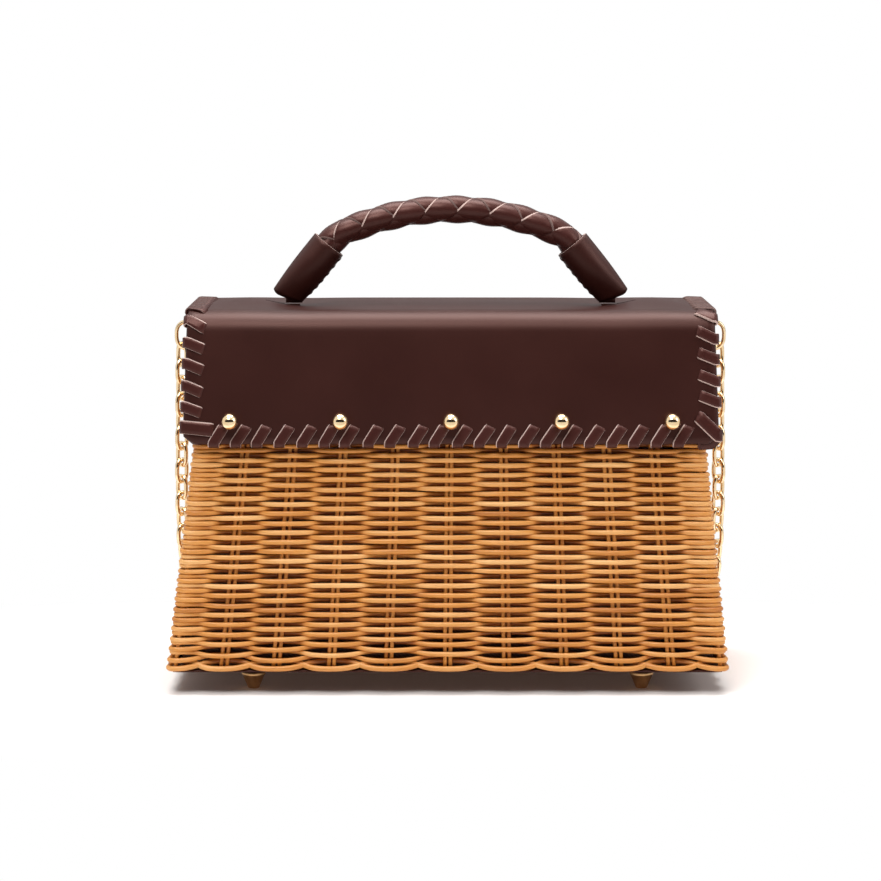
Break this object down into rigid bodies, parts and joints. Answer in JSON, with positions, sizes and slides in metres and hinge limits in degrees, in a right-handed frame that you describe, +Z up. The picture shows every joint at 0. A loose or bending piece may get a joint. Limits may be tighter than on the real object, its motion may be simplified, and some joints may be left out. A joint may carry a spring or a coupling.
{
  "type": "handbag",
  "caption": "Woven rattan handbag, wider at the foot, with a laced leather flap, ball studs, a braided leather handle and a chain strap.",
  "frame": {"origin": "middle of the bag's footprint, on the floor under the feet", "axes": "+Z up, +X to the right, the front with the flap faces -Y"},
  "size_m": [0.2742, 0.1636, 0.2288],
  "materials": {
    "rattan": "satin",
    "leather": "satin",
    "lace": "satin",
    "gold_metal": "polished",
    "dull_brass": "satin",
    "lining": "matte",
    "rope": "matte",
    "magnet": "satin"
  },
  "bodies": {
    "basket": {"wicker_wall": "rattan", "rim_hoop": "rattan", "base_board": "leather", "lining": "lining", "feet": "dull_brass", "back_panel": "leather", "panel_rivets": "gold_metal", "basket_magnet": "magnet", "tab_left": "leather", "tab_right": "leather", "tab_rivets": "gold_metal", "ring_left": "gold_metal", "ring_right": "gold_metal", "chain_strap": "gold_metal"},
    "flap": {"flap": "leather", "front_lacing": "lace", "left_lacing": "lace", "right_lacing": "lace", "ball_studs": "gold_metal", "stud_washers": "gold_metal", "flap_magnet": "magnet", "anchor_left": "leather", "anchor_right": "leather"},
    "handle": {"handle_core": "rope", "handle_braid": "lace", "sleeve_left": "leather", "sleeve_right": "leather"}
  },
  "joints": [
    {"name": "flap_hinge", "type": "hinge", "parent": "basket", "child": "flap", "pos_m": [0, 0.04528, 0.1764], "axis": [-1, 0, 0], "range_deg": [0, 110]},
    {"name": "handle_fold", "type": "hinge", "parent": "flap", "child": "handle", "pos_m": [0, 0, 0.1794], "axis": [1, 0, 0], "range_deg": [-45, 45]}
  ]
}
